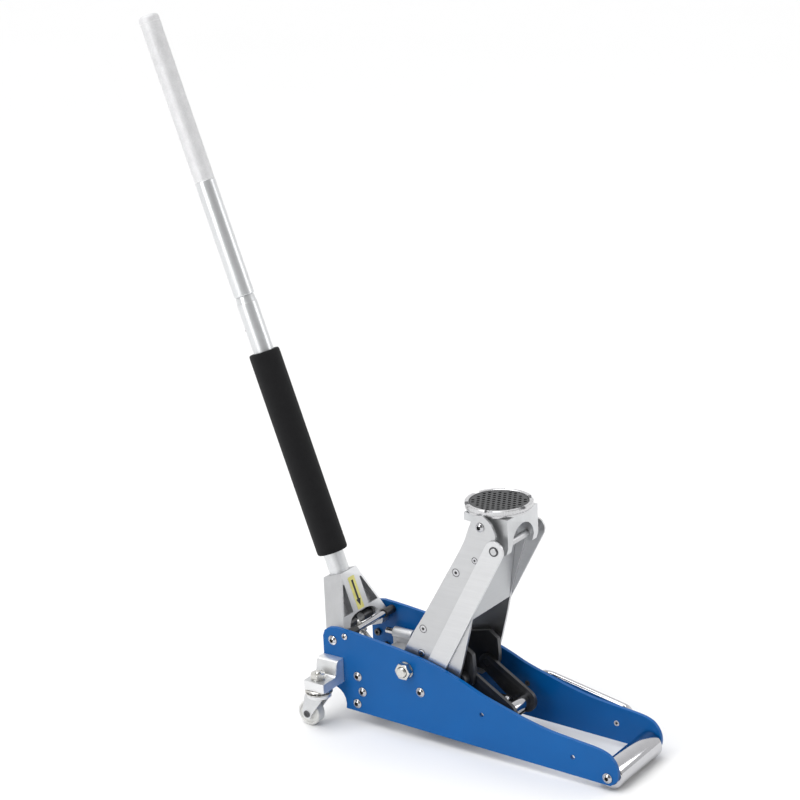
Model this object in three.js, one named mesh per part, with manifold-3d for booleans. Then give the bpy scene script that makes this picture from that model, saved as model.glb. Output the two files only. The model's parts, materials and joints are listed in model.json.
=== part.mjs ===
// Hydraulic floor jack of the low, aluminium, racing pattern: two side plates carry a front roller,
// two swivel casters, a hydraulic unit and a parallel lift arm with a turning saddle, and a two-piece
// handle stands in a cast socket at the rear. Millimetres, +Z up, +X towards the front roller, +Y to the
// left side plate. Everything is worked out from the rear lower end of the side plates (x = 0, z = 0 on
// the ground, y = 0 midway between the plates), and the whole group is then moved so that its origin is
// at the middle of its bounding box's base.
import * as THREE from 'three';
import { mergeVertices } from 'three/addons/utils/BufferGeometryUtils.js';
import Module from 'manifold-3d';

const wasm = await Module();
wasm.setup();

// ---- Driving dimensions -------------------------------------------------------------------------

const GAP = 0.3; // clearance between touching pieces
const degrees = Math.PI / 180;
const facetAllowance = 1.045; // a faceted hole is drawn this much wider, so its flats clear the shaft

const plate = { inner: 62, thickness: 6 };
plate.outer = plate.inner + plate.thickness;

// Pivots and fixings in the side view, as [x, z].
const handlePivot = [18.8, 132];
const stopBarAt = [42.7, 143.1];
const unitScrews = { upper: [64.6, 80.4], middle: [72.6, 55.8], lower: [61.4, 33.4] };
const armPivot = [158, 113];
const pivotOffset = [25.5, -32]; // from the arm's pivots to the parallel link's pivots
const linkPivot = [armPivot[0] + pivotOffset[0], armPivot[1] + pivotOffset[1]];
const carryHandleAt = { rear: [294.4, 69.5], front: [452.4, 39.5] };
const frontAxle = [510.7, 20.7];
const rollerRadius = 20.7;

const arm = { length: 288, raised: 61.7 * degrees, inner: 51.8, thickness: 4.5, pinRadius: 8 };
arm.outer = arm.inner + arm.thickness;
const link = { inner: arm.outer + GAP, thickness: 3.5, halfWidth: 16, pinRadius: 6 };
link.outer = link.inner + link.thickness;

const lug = { reach: 86, below: -3 * degrees, inner: 31, thickness: 8, radius: 19 };
const ram = { z: 60, rodRadius: 14, cylinderRadius: 22.5, tip: 301, gland: 230, cylinderFront: 216 };
const yoke = { front: [313, ram.z], inner: 24.5, thickness: 6, radius: 19, pinRadius: 11 };

const handle = { lean: 20.1 * degrees, tubeRadius: 16.4, foamRadius: 25, length: 1012 };
handle.socketTop = 91;
handle.foam = [125, 461];
handle.lowerTop = 542;
handle.upperStart = 553.3;
handle.gripStart = 742.5;
handle.spigotTop = 640;
handle.bottom = 30;

const saddle = { x: 293, top: 392, cupRadius: 51.5, padRadius: 44.8, padTop: 390.6 };
const caster = { x: 15, y: 105, trail: 17, wheelRadius: 20.5, wheelWidth: 18, lipBottom: 65.5 };

// ---- Colours ------------------------------------------------------------------------------------

const finish = {
  blue: { color: 0x0b5aa6, roughness: 0.42, metalness: 0.25 },
  aluminium: { color: 0xb9babb, roughness: 0.45, metalness: 0.9 },
  cast: { color: 0x9a9b9c, roughness: 0.6, metalness: 0.85 },
  chrome: { color: 0xe6e6e8, roughness: 0.12, metalness: 1 },
  zinc: { color: 0xc9c8c2, roughness: 0.32, metalness: 0.95 },
  darkIron: { color: 0x2b2c2f, roughness: 0.6, metalness: 0.6 },
  foam: { color: 0x141517, roughness: 0.95, metalness: 0 },
  rubber: { color: 0x4a4b4e, roughness: 0.85, metalness: 0 },
  silver: { color: 0xd8d9da, roughness: 0.38, metalness: 0.8 },
  wheel: { color: 0xd9d9d4, roughness: 0.5, metalness: 0.3 },
};

// ---- Helpers ------------------------------------------------------------------------------------

const jack = new THREE.Group();

function add(name, geometry, look) {
  const mesh = new THREE.Mesh(geometry, new THREE.MeshStandardMaterial(finish[look]));
  mesh.name = name;
  jack.add(mesh);
  return mesh;
}

function solid(geometry) {
  const bare = geometry.clone();
  bare.deleteAttribute('normal');
  bare.deleteAttribute('uv');
  const merged = mergeVertices(bare, 1e-4);
  return new wasm.Manifold(new wasm.Mesh({
    numProp: 3,
    vertProperties: new Float32Array(merged.attributes.position.array),
    triVerts: new Uint32Array(merged.index.array),
  }));
}

function geometryOf(body) {
  const mesh = body.getMesh();
  const geometry = new THREE.BufferGeometry();
  geometry.setAttribute('position', new THREE.BufferAttribute(new Float32Array(mesh.vertProperties), 3));
  geometry.setIndex(new THREE.BufferAttribute(new Uint32Array(mesh.triVerts), 1));
  const flat = geometry.toNonIndexed();
  flat.computeVertexNormals();
  return flat;
}

const joined = (first, ...rest) => geometryOf(rest.reduce((sum, g) => sum.add(solid(g)), solid(first)));
const cut = (first, ...rest) => geometryOf(rest.reduce((left, g) => left.subtract(solid(g)), solid(first)));

// The same outline as straight steps, anticlockwise, with the points left out that repeat where two
// curves meet.
function stepped(shape, curveSegments) {
  const distinct = (points) => points.filter((p, i) => p.distanceTo(points.at(i - 1)) > 0.01);
  const edge = distinct(shape.getPoints(curveSegments));
  if (THREE.ShapeUtils.isClockWise(edge)) edge.reverse();
  const plain = new THREE.Shape(edge);
  plain.holes = shape.holes.map((hole) => new THREE.Path(distinct(hole.getPoints(6))));
  return plain;
}

function extruded(shape, depth, curveSegments) {
  return new THREE.ExtrudeGeometry(stepped(shape, curveSegments), { depth, bevelEnabled: false });
}

// A side-view outline (shape x is X, shape y is Z) made into a plate from y0 to y1.
function sidePlate(shape, y0, y1, curveSegments = 8) {
  const geometry = extruded(shape, y1 - y0, curveSegments);
  return geometry.rotateX(Math.PI / 2).translate(0, y1, 0);
}

// A front-view outline (shape x is Y, shape y is Z) made into a bar from x0 to x1.
function crossPlate(shape, x0, x1, curveSegments = 8) {
  const geometry = extruded(shape, x1 - x0, curveSegments);
  return geometry.rotateX(Math.PI / 2).rotateZ(Math.PI / 2).translate(x0, 0, 0);
}

function outline(points) {
  return new THREE.Shape(points.map(([x, z]) => new THREE.Vector2(x, z)));
}

// A body turned about its own axis: profile is [radius, height] and closes on the axis or on itself.
function turned(profile, segments = 16) {
  return new THREE.LatheGeometry(profile.map(([r, h]) => new THREE.Vector2(r, h)), segments)
    .rotateX(Math.PI / 2);
}

const alongY = (geometry, [x, z], y = 0) => geometry.rotateX(-Math.PI / 2).translate(x, y, z);

function rodY(radius, y0, y1, at, segments = 16) {
  return alongY(turned([[0, y0], [radius, y0], [radius, y1], [0, y1]], segments), at);
}

function rodX(radius, x0, x1, y, z, segments = 16) {
  return turned([[0, x0], [radius, x0], [radius, x1], [0, x1]], segments)
    .rotateY(Math.PI / 2).translate(0, y, z);
}

function rodZ(radius, z0, z1, x, y, segments = 16) {
  return turned([[0, z0], [radius, z0], [radius, z1], [0, z1]], segments).translate(x, y, 0);
}

// A rod in the middle plane along the line from one [x, z] to another, starting and ending at the given
// distances from the first.
function rodBetween(radius, from, to, start, end, segments = 12) {
  const [dx, dz] = [to[0] - from[0], to[1] - from[1]];
  return turned([[0, start], [radius, start], [radius, end], [0, end]], segments)
    .rotateY(Math.atan2(dx, dz)).translate(from[0], 0, from[1]);
}

const sides = [['right', -1], ['left', 1]];

// Pieces that come in pairs are made on the left and mirrored to the right.
const onSide = (geometry, sign) => (sign > 0 ? geometry : geometryOf(solid(geometry).mirror([0, 1, 0])));

// ---- Side plates --------------------------------------------------------------------------------

// Outline of one side plate: upright rear edge, long falling top edge, rounded nose around the front
// axle, straight underside, and a round cut-out at the rear for the caster.
function sidePlateOutline() {
  const cutOut = { center: [13, 28], radius: 27, from: -0.28, to: Math.PI / 2 };
  const top = [[25, 154.4], [65, 151.8], [123, 145.6], [160, 140.6], [200, 133.6], [235, 124], [262, 115],
    [293, 102.5], [330, 91.5], [368, 81], [410, 72.2], [450, 67.8], [485, 64.4], [502, 61.6]];
  const nose = [[515, 56], [524.5, 45], [528.4, 31], [526, 18], [515.5, 9.2]];
  const points = (list) => list.map(([x, z]) => new THREE.Vector2(x, z));
  const shape = new THREE.Shape();
  shape.moveTo(0, cutOut.center[1] + cutOut.radius);
  shape.lineTo(0, 136);
  shape.quadraticCurveTo(1.5, 154, 25, 154.4);
  shape.splineThru(points(top.slice(1)));
  shape.splineThru(points(nose));
  shape.lineTo(40, 20.4);
  shape.absarc(...cutOut.center, cutOut.radius, cutOut.from, cutOut.to, false);
  return shape;
}

const screwHoles = {
  handlePivot: [handlePivot, 5], stopBar: [stopBarAt, 3], armPivot: [armPivot, 8], linkPivot: [linkPivot, 5],
  upper: [unitScrews.upper, 4.2], middle: [unitScrews.middle, 4.2], lower: [unitScrews.lower, 4.2],
  rearHandle: [carryHandleAt.rear, 3.6], frontHandle: [carryHandleAt.front, 3.6], axle: [frontAxle, 5],
  bracketUpper: [[12, 96], 3.2], bracketLower: [[28, 76], 3.2],
};

for (const [side, sign] of sides) {
  const shape = sidePlateOutline();
  for (const [at, radius] of Object.values(screwHoles)) {
    const hole = new THREE.Path();
    hole.absarc(at[0], at[1], (radius + GAP / 2) * facetAllowance, 0, 2 * Math.PI, true);
    shape.holes.push(hole);
  }
  const [y0, y1] = sign < 0 ? [-plate.outer, -plate.inner] : [plate.inner, plate.outer];
  add(`side_plate_${side}`, sidePlate(shape, y0, y1, 3), 'blue');
}

// ---- Screws, bars and shafts of the chassis -----------------------------------------------------

// A button-head screw pointing inwards from a plate's outer face: its head is a low dome.
function buttonScrew(at, sign, head, shank, depth) {
  const face = plate.outer + GAP / 2;
  const height = head * 0.55;
  const profile = [[0, face - depth], [shank, face - depth], [shank, face], [head, face],
    [head, face + height * 0.35], [head * 0.72, face + height * 0.85], [head * 0.4, face + height],
    [0, face + height]];
  return onSide(alongY(turned(profile, 12), at), sign);
}

for (const [side, sign] of sides) {
  for (const [name, at] of Object.entries(unitScrews)) {
    add(`power_unit_screw_${name}_${side}`, buttonScrew(at, sign, 7.6, 4, 19), 'chrome');
  }
  add(`link_pivot_screw_${side}`, buttonScrew(linkPivot, sign, 7.6, 4.8, plate.outer - arm.outer - GAP), 'chrome');
  add(`handle_pivot_screw_${side}`, buttonScrew(handlePivot, sign, 7.8, 4.8, plate.outer - 42), 'chrome');
}

// A full-width bar between the plates, held by a button head standing proud on each side.
function headedBar(at, radius, shank, head) {
  const face = plate.outer + GAP / 2;
  const shoulder = plate.inner - GAP;
  const height = head * 0.5;
  const half = [[0, face + height], [head * 0.45, face + height], [head, face + height * 0.4], [head, face],
    [shank, face], [shank, shoulder], [radius, shoulder]];
  const other = half.map(([r, y]) => [r, -y]);
  return alongY(turned([...other, ...half.toReversed()], 14), at);
}

add('front_axle', headedBar(frontAxle, 7, 4.8, 7.8), 'zinc');
add('handle_stop_bar', headedBar(stopBarAt, 5, 2.8, 5.2), 'chrome');
for (const [side, sign] of sides) {
  const [y0, y1] = sign < 0 ? [-61, -37] : [37, 61];
  const ring = [[5.3, y0], [7, y0], [7, y1], [5.3, y1], [5.3, y0]];
  add(`stop_bar_sleeve_${side}`, alongY(turned(ring, 14), stopBarAt), 'darkIron');
}

const pivotShaftReach = 83;
add('main_pivot_shaft', rodY(arm.pinRadius - 0.15, -pivotShaftReach, pivotShaftReach, armPivot), 'zinc');
const pivotNut = { acrossFlats: 24, height: 11 };
for (const [side, sign] of sides) {
  const y0 = plate.outer + GAP;
  const hexRadius = pivotNut.acrossFlats / Math.sqrt(3);
  const nut = cut(rodY(hexRadius, y0, y0 + pivotNut.height, armPivot, 6),
    rodY(arm.pinRadius + 0.1, y0 - 1, y0 + pivotNut.height + 1, armPivot));
  add(`main_pivot_nut_${side}`, onSide(nut, sign), 'zinc');
}

// ---- Hydraulic unit -----------------------------------------------------------------------------

// Cast block between the plates, with the pump barrel standing on it and the valve boss beside it.
const unit = { rear: 47, front: 106, halfWidth: plate.inner - GAP };
const unitOutline = outline([[unit.rear, 26], [96, 24], [unit.front, 34], [unit.front, 88], [92, 97], [62, 97],
  [unit.rear, 84]]);
const releaseRod = { from: handlePivot, to: [64, 91], radius: 4, knuckle: 7.5 };
const pump = { y: 47, z: 111, radius: 5, barrel: [56, 92], tip: 40, inner: 84 };
const screwBore = (at) => rodY(4.3, -70, 70, at, 10);
add('power_unit_block', cut(
  joined(sidePlate(unitOutline, -unit.halfWidth, unit.halfWidth),
    rodX(9, pump.barrel[0], pump.barrel[1], pump.y, pump.z, 14),
    new THREE.BoxGeometry(34, 14, 20).translate(74, pump.y, pump.z - 10)),
  rodX(pump.radius + GAP, 30, pump.inner + 1, pump.y, pump.z, 12),
  rodX(ram.cylinderRadius + GAP, 96, 130, 0, ram.z, 20),
  rodBetween(releaseRod.radius + GAP, releaseRod.from, releaseRod.to, 0, 80),
  ...Object.values(unitScrews).map(screwBore)), 'cast');

const cylinderProfile = [[ram.rodRadius + 3, 96.3], [ram.cylinderRadius, 96.3],
  [ram.cylinderRadius, ram.cylinderFront], [ram.rodRadius + 3, ram.cylinderFront], [ram.rodRadius + 3, 96.3]];
const alongX = (geometry, y, z) => geometry.rotateY(Math.PI / 2).translate(0, y, z);
add('ram_cylinder', alongX(turned(cylinderProfile, 20), 0, ram.z), 'darkIron');
const glandProfile = [[ram.rodRadius + GAP, ram.cylinderFront + GAP], [21, ram.cylinderFront + GAP], [21, ram.gland - 3],
  [18, ram.gland], [ram.rodRadius + GAP, ram.gland], [ram.rodRadius + GAP, ram.cylinderFront + GAP]];
add('cylinder_gland_nut', alongX(turned(glandProfile, 18), 0, ram.z), 'zinc');
add('ram_piston', joined(rodX(ram.rodRadius, 150, ram.tip, 0, ram.z, 18),
  rodX(ram.rodRadius + 2.6, 150, 162, 0, ram.z, 18)), 'chrome');
add('pump_plunger', rodX(pump.radius, pump.tip, pump.inner - 12, pump.y, pump.z, 12), 'chrome');
add('release_rod', joined(rodBetween(releaseRod.radius, releaseRod.from, releaseRod.to, 4, 59.5),
  rodBetween(releaseRod.knuckle, releaseRod.from, releaseRod.to, -4, 14)), 'zinc');

// ---- Caster brackets, casters and wheels --------------------------------------------------------

// Cast bracket on each plate's outer face: its top falls in an S-shaped curve to a flat lip.
function bracketOutline() {
  const face = plate.outer + GAP;
  const shape = new THREE.Shape();
  shape.moveTo(face, caster.lipBottom);
  shape.lineTo(122, caster.lipBottom);
  shape.lineTo(122, 80.4);
  shape.lineTo(92, 81);
  shape.bezierCurveTo(85, 82, 91, 104, 80, 106);
  shape.lineTo(face, 106);
  return shape;
}

for (const [side, sign] of sides) {
  const place = (geometry) => onSide(geometry, sign);
  const { x, y, lipBottom, trail, wheelRadius, wheelWidth } = caster;
  const boltRadius = 5;
  const axle = [x - trail, wheelRadius];
  const bracketScrews = [screwHoles.bracketUpper[0], screwHoles.bracketLower[0]];
  add(`caster_bracket_${side}`, place(cut(crossPlate(bracketOutline(), -1, 37.5, 6),
    rodZ(boltRadius + GAP, 50, 100, x, y, 12),
    ...bracketScrews.map((at) => rodY(3.4, 60, 80, at, 10)))), 'silver');
  for (const [index, at] of bracketScrews.entries()) {
    const head = [[0, 57.5], [6, 57.5], [6, plate.inner - GAP], [3, plate.inner - GAP], [3, 78], [0, 78]];
    add(`bracket_screw_${index ? 'lower' : 'upper'}_${side}`, place(alongY(turned(head, 10), at)), 'darkIron');
  }
  const boltTop = 90;
  const nut = rodZ(12.6, 81.4, boltTop, x, y, 6);
  add(`swivel_bolt_${side}`, place(joined(nut, rodZ(boltRadius, 44, boltTop + 3, x, y, 12))), 'zinc');
  const race = [[boltRadius + GAP, lipBottom - GAP], [boltRadius + GAP, 57], [20, 57], [22, 59.5], [22, 62.5],
    [20, lipBottom - GAP], [boltRadius + GAP, lipBottom - GAP]];
  const ring = turned(race, 18).translate(x, y, 0);
  add(`swivel_race_${side}`, place(ring), 'zinc');
  const legOutline = outline([[x + 14, 55], [x - 19, 55], [axle[0] - 9, 24], [axle[0] - 5, 13], [axle[0] + 6, 13],
    [axle[0] + 9, 21], [x + 12, 48]]);
  const legInner = wheelWidth / 2 + 0.8;
  const crown = cut(rodZ(19.5, 51.5, 56.6, x, y, 18), rodZ(boltRadius + GAP, 40, 60, x, y, 12));
  const fork = joined(crown, sidePlate(legOutline, y - legInner - 2.8, y - legInner),
    sidePlate(legOutline, y + legInner, y + legInner + 2.8));
  const axleHole = rodY(4.2, y - 20, y + 20, axle, 12);
  add(`caster_fork_${side}`, place(cut(fork, axleHole)), 'silver');
  const axleHead = [[0, y - 14.2], [6, y - 14.2], [6, y - 12.8], [4, y - 12.8], [4, y + 12.8], [6, y + 12.8],
    [6, y + 14.2], [0, y + 14.2]];
  add(`caster_axle_${side}`, place(alongY(turned(axleHead, 12), axle)), 'zinc');
  const half = wheelWidth / 2;
  const tread = [[4.2, y - half], [9, y - half], [10, y - half + 2], [16.5, y - half + 2], [18, y - half],
    [19.6, y - half], [wheelRadius, y - half + 2], [wheelRadius, y + half - 2], [19.6, y + half], [18, y + half],
    [16.5, y + half - 2], [10, y + half - 2], [9, y + half], [4.2, y + half], [4.2, y - half]];
  add(`caster_wheel_${side}`, place(alongY(turned(tread, 22), axle)), 'wheel');
}

// ---- Front roller and carry handle --------------------------------------------------------------

const rollerHalf = 60.8;
add('front_roller', alongY(turned([[7.4, -rollerHalf], [rollerRadius - 2, -rollerHalf],
  [rollerRadius, -rollerHalf + 2], [rollerRadius, rollerHalf - 2], [rollerRadius - 2, rollerHalf],
  [7.4, rollerHalf], [7.4, -rollerHalf]], 32), frontAxle), 'chrome');

// Bent round bar on the left plate: two legs stand out from the plate and a straight grip joins them.
const grip = { reach: 112, radius: 6, corner: 18 };
function carryHandlePath() {
  const at = ([x, z], y) => new THREE.Vector3(x, y, z);
  const { rear, front } = carryHandleAt;
  const along = at(front, 0).sub(at(rear, 0)).normalize().multiplyScalar(grip.corner);
  const path = new THREE.CurvePath();
  const rearCorner = at(rear, grip.reach);
  const frontCorner = at(front, grip.reach);
  const legEnd = grip.reach - grip.corner;
  path.add(new THREE.LineCurve3(at(rear, plate.outer + GAP), at(rear, legEnd)));
  path.add(new THREE.QuadraticBezierCurve3(at(rear, legEnd), rearCorner, rearCorner.clone().add(along)));
  path.add(new THREE.LineCurve3(rearCorner.clone().add(along), frontCorner.clone().sub(along)));
  path.add(new THREE.QuadraticBezierCurve3(frontCorner.clone().sub(along), frontCorner, at(front, legEnd)));
  path.add(new THREE.LineCurve3(at(front, legEnd), at(front, plate.outer + GAP)));
  return path;
}
const gripSection = new THREE.Shape().absarc(0, 0, grip.radius, 0, 2 * Math.PI, false);
add('carry_handle', new THREE.ExtrudeGeometry(gripSection,
  { steps: 22, curveSegments: 5, bevelEnabled: false, extrudePath: carryHandlePath() }), 'chrome');

// ---- Lift arm -----------------------------------------------------------------------------------

// Points of the arm: u runs from the lower pivot to the head pin, v towards the arm's rear edge.
function armPoint(u, v) {
  const [c, s] = [Math.cos(arm.raised), Math.sin(arm.raised)];
  return [armPivot[0] + u * c - v * s, armPivot[1] + u * s + v * c];
}
const headPin = armPoint(arm.length, 0);
const linkHead = [headPin[0] + pivotOffset[0], headPin[1] + pivotOffset[1]];
const lugPin = [armPivot[0] + lug.reach * Math.cos(lug.below), armPivot[1] + lug.reach * Math.sin(lug.below)];
const vector = ([x, z]) => new THREE.Vector2(x, z);

function armPlateOutline() {
  const top = arm.length;
  const rear = [[57, 21], [100, 17.8], [178, 14.6], [243, 12.4], [top - 16, 15.5]];
  const head = [[top + 9, 16], [top + 18.5, 2], [top + 15, -14], [top + 4, -28], [top - 12, -30.5]];
  const front = [[258, -29.5], [237, -35], [159, -50], [111, -63], [50, -77], [14, -80], [-8, -72]];
  const shape = new THREE.Shape();
  shape.moveTo(...armPoint(0, 21.5));
  shape.lineTo(...armPoint(...rear[0]));
  shape.splineThru(rear.slice(1).map(([u, v]) => vector(armPoint(u, v))));
  shape.splineThru(head.map(([u, v]) => vector(armPoint(u, v))));
  shape.splineThru(front.map(([u, v]) => vector(armPoint(u, v))));
  shape.quadraticCurveTo(...armPoint(-22, -50), ...armPoint(-22, 0));
  shape.quadraticCurveTo(...armPoint(-21, 20), ...armPoint(0, 21.5));
  return shape;
}
for (const [side, sign] of sides) {
  const plateHole = (at, radius) => rodY(radius, arm.inner - 1, arm.outer + 1, at, 16);
  const body = cut(sidePlate(armPlateOutline(), arm.inner, arm.outer, 3),
    plateHole(armPivot, arm.pinRadius + 0.1), plateHole(headPin, arm.pinRadius - 0.9));
  add(`arm_plate_${side}`, onSide(body, sign), 'aluminium');
}

// Folded web between the arm plates: a rear leg, a fold under the head, and a front leg that ends in a
// ridge at the plates' front edge.
const web = { points: [[58, 10], [200, 2], [238, -14], [142, -49]], thickness: 5 };
function foldedStrip(points, thickness) {
  const path = points.map(([u, v]) => vector(armPoint(u, v)));
  const normals = path.slice(1).map((p, i) => p.clone().sub(path[i]).normalize())
    .map((d) => new THREE.Vector2(-d.y, d.x));
  const offset = path.map((p, i) => {
    const before = normals[Math.max(i - 1, 0)];
    const after = normals[Math.min(i, normals.length - 1)];
    const middle = before.clone().add(after).normalize();
    return p.clone().addScaledVector(middle, thickness / middle.dot(after));
  });
  return new THREE.Shape([...path, ...offset.toReversed()]);
}
add('arm_web', sidePlate(foldedStrip(web.points, web.thickness), -arm.inner + GAP, arm.inner - GAP), 'aluminium');

// Cast crank on the main shaft: a tube between the arm plates with two lugs that carry the yoke's pins.
const lugOutline = outline([[150, 130], [205, 150], [246, 160], [262, 149], [264, 122], [260, 99], [246, 90],
  [228, 93], [160, 95]]);
const crank = arm.inner - GAP;
const lugSides = [-1, 1].flatMap((sign) => {
  const span = (a, b) => (sign < 0 ? [-b, -a] : [a, b]);
  return [sidePlate(lugOutline, ...span(lug.inner, lug.inner + lug.thickness)),
    rodY(12, ...span(lug.inner + 2, crank), lugPin, 14),
    rodY(yoke.thickness, ...span(yoke.inner + GAP, lug.inner + 2), lugPin, 12)];
});
add('arm_crank', cut(joined(rodY(18, -crank, crank, armPivot, 20), ...lugSides),
  rodY(arm.pinRadius + 0.1, -60, 60, armPivot)), 'darkIron');

const armHead = arm.outer + GAP;
const headPinHalf = [[6.8, armHead], [7.5, armHead], [7.5, armHead + 2], [5, armHead + 4], [0, armHead + 4]];
const bothEnds = (half) => [...half.map(([r, y]) => [r, -y]).toReversed(), ...half];
add('arm_head_pin', alongY(turned(bothEnds(headPinHalf), 16), headPin), 'chrome');

// ---- Parallel links and saddle bracket ----------------------------------------------------------

function linkOutline() {
  const [from, to] = [new THREE.Vector2(...linkPivot), new THREE.Vector2(...linkHead)];
  const angle = to.clone().sub(from).angle();
  const shape = new THREE.Shape();
  shape.absarc(to.x, to.y, link.halfWidth, angle - Math.PI / 2, angle + Math.PI / 2, false);
  shape.absarc(from.x, from.y, link.halfWidth, angle + Math.PI / 2, angle + 1.5 * Math.PI, false);
  return shape;
}
for (const [side, sign] of sides) {
  const bar = cut(sidePlate(linkOutline(), link.inner, link.outer, 8),
    rodY(5.1, 40, 70, linkPivot, 14), rodY(link.pinRadius + GAP, 40, 70, linkHead, 14));
  add(`link_bar_${side}`, onSide(bar, sign), 'aluminium');
}
const linkFace = link.outer + GAP;
const linkPinHalf = [[link.pinRadius, linkFace], [7.5, linkFace], [7.5, linkFace + 1.2], [0, linkFace + 1.2]];
add('link_head_pin', alongY(turned(bothEnds(linkPinHalf), 16), linkHead), 'zinc');

const bracket = { half: 42, rear: 257.5, front: 334, top: 379.7, bottom: 323 };
const bracketSide = outline([[bracket.rear, bracket.top], [bracket.front, bracket.top], [bracket.front, 336],
  [bracket.front - 3, bracket.bottom + 2], [bracket.front - 8, bracket.bottom], [311, bracket.bottom + 1],
  [304, 338], [282, 349], [274, 366], [bracket.rear, 368]]);
function archOutline(halfWidth, spring, top, bottom) {
  const shape = new THREE.Shape();
  shape.moveTo(-halfWidth, bottom);
  shape.lineTo(halfWidth, bottom);
  shape.lineTo(halfWidth, spring);
  shape.ellipse(-halfWidth, 0, halfWidth, top - spring, 0, Math.PI, false);
  return shape;
}
const saddleStem = { radius: 12, bottom: 368 };
add('saddle_bracket', cut(
  joined(sidePlate(bracketSide, -bracket.half, bracket.half), rodY(13, -crank, crank, headPin, 16)),
  crossPlate(archOutline(29.5, 336, 363, 300), 268, 345, 6),
  rodY(7, -60, 60, headPin, 16), rodY(link.pinRadius + GAP, -60, 60, linkHead, 14),
  rodZ(saddleStem.radius + GAP, 376, 390, saddle.x, 0, 20)), 'aluminium');

// ---- Saddle -------------------------------------------------------------------------------------

const cupBase = bracket.top + GAP;
const { cupRadius, padRadius, padTop } = saddle;
const notch = (angle) => new THREE.BoxGeometry(12, 13, 6)
  .translate(cupRadius, 0, saddle.top).rotateZ(angle).translate(saddle.x, 0, 0);
const notches = [45, 105, 165, 225, 285, 345].map((angle) => notch(angle * degrees));
add('saddle_cup', cut(turned([[0, cupBase - 3], [saddleStem.radius, cupBase - 3], [saddleStem.radius, cupBase],
  [cupRadius - 2.5, cupBase], [cupRadius - 2.5, cupBase + 2.4], [cupRadius, cupBase + 3.4],
  [cupRadius, saddle.top - 1], [cupRadius - 1, saddle.top], [padRadius + 1, saddle.top],
  [padRadius + GAP, saddle.top - 1], [padRadius + GAP, cupBase + 3.5], [0, cupBase + 3.5]], 32)
  .translate(saddle.x, 0, 0), ...notches), 'aluminium');
add('saddle_pad', turned([[0, cupBase + 3.8], [padRadius, cupBase + 3.8], [padRadius, padTop - 1],
  [padRadius - 1, padTop], [0, padTop]], 32).translate(saddle.x, 0, 0), 'rubber');

// ---- Ram yoke -----------------------------------------------------------------------------------

// Two cheeks straddle the ram: their rear eyes turn on the crank's pins and a cross pin joins the front
// eyes ahead of the ram's nose.
function yokeCheek() {
  const [from, to] = [new THREE.Vector2(...lugPin), new THREE.Vector2(...yoke.front)];
  const angle = to.clone().sub(from).angle();
  const shape = new THREE.Shape();
  shape.absarc(to.x, to.y, yoke.radius, angle - Math.PI / 2, angle + Math.PI / 2, false);
  shape.absarc(from.x, from.y, 13, angle + Math.PI / 2, angle + 1.5 * Math.PI, false);
  return shape;
}
const yokeOuter = yoke.inner + yoke.thickness;
const yokeLine = new THREE.Vector2(yoke.front[0] - lugPin[0], yoke.front[1] - lugPin[1]);
const bridge = new THREE.BoxGeometry(11, 2 * yokeOuter - 2, 5).translate(5.5, 0, -14.6)
  .rotateY(-yokeLine.angle()).translate(yoke.front[0], 0, yoke.front[1]);
add('ram_yoke', cut(
  joined(sidePlate(yokeCheek(), -yokeOuter, -yoke.inner, 7), sidePlate(yokeCheek(), yoke.inner, yokeOuter, 7),
    bridge),
  rodY(yoke.thickness + GAP, -50, 50, lugPin, 14), rodY(6.3, -50, 50, yoke.front, 18)), 'darkIron');
const pinHalf = yoke.inner - GAP;
add('yoke_cross_pin', alongY(turned([[0, -yokeOuter], [6, -yokeOuter], [6, -pinHalf], [yoke.pinRadius, -pinHalf],
  [yoke.pinRadius, pinHalf], [6, pinHalf], [6, yokeOuter], [0, yokeOuter]], 18), yoke.front), 'chrome');

// ---- Handle -------------------------------------------------------------------------------------

// The socket and the tubes are drawn upright over the handle pivot, then leant back.
const stand = (geometry) => geometry.rotateY(-handle.lean).translate(handlePivot[0], 0, handlePivot[1]);

const socket = { topHalf: 20.7, bottomHalf: 56.5, front: 18, rear: -18.5, earInner: 41, archTop: 24, earRadius: 18.7 };
function socketOutline() {
  const shape = new THREE.Shape();
  shape.moveTo(-socket.topHalf, handle.socketTop);
  shape.lineTo(-socket.bottomHalf, 9);
  shape.lineTo(-socket.bottomHalf, -14);
  shape.lineTo(-socket.earInner, -14);
  shape.lineTo(-socket.earInner, 4);
  shape.bezierCurveTo(-34, 22, -22, socket.archTop, 0, socket.archTop);
  shape.bezierCurveTo(22, socket.archTop, 34, 22, socket.earInner, 4);
  shape.lineTo(socket.earInner, -14);
  shape.lineTo(socket.bottomHalf, -14);
  shape.lineTo(socket.bottomHalf, 9);
  shape.lineTo(socket.topHalf, handle.socketTop);
  return shape;
}
const recess = [[20.5, 27], [45, 27], [24, 73], [20.5, 73]];
const recesses = [-1, 1].map((sign) => {
  const points = recess.map(([y, s]) => [sign * y, s]);
  return crossPlate(outline(points), 7, socket.front + 2);
});
const tubeBore = rodZ(handle.tubeRadius + GAP, 20, handle.socketTop + 5, 0, 0, 24);
const earBores = rodY(5.1, -60, 60, [0, 0], 14);
// Below the pivot the ears are turned to a radius that passes the stop bar as the handle swings down.
const earCorners = cut(new THREE.BoxGeometry(50, 130, 30).translate(0, 0, -15),
  rodY(socket.earRadius, -66, 66, [0, 0], 32));
// Two bosses inside the ears stand over the release rod and press on the pump.
const camBosses = [[-40, -9], [9, 40]].map(([y0, y1]) => rodY(7.5, y0, y1, [2, 10.4], 16));
add('handle_socket', stand(cut(joined(crossPlate(socketOutline(), socket.rear, socket.front, 5), ...camBosses),
  tubeBore, earBores, earCorners, ...recesses)), 'cast');

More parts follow.
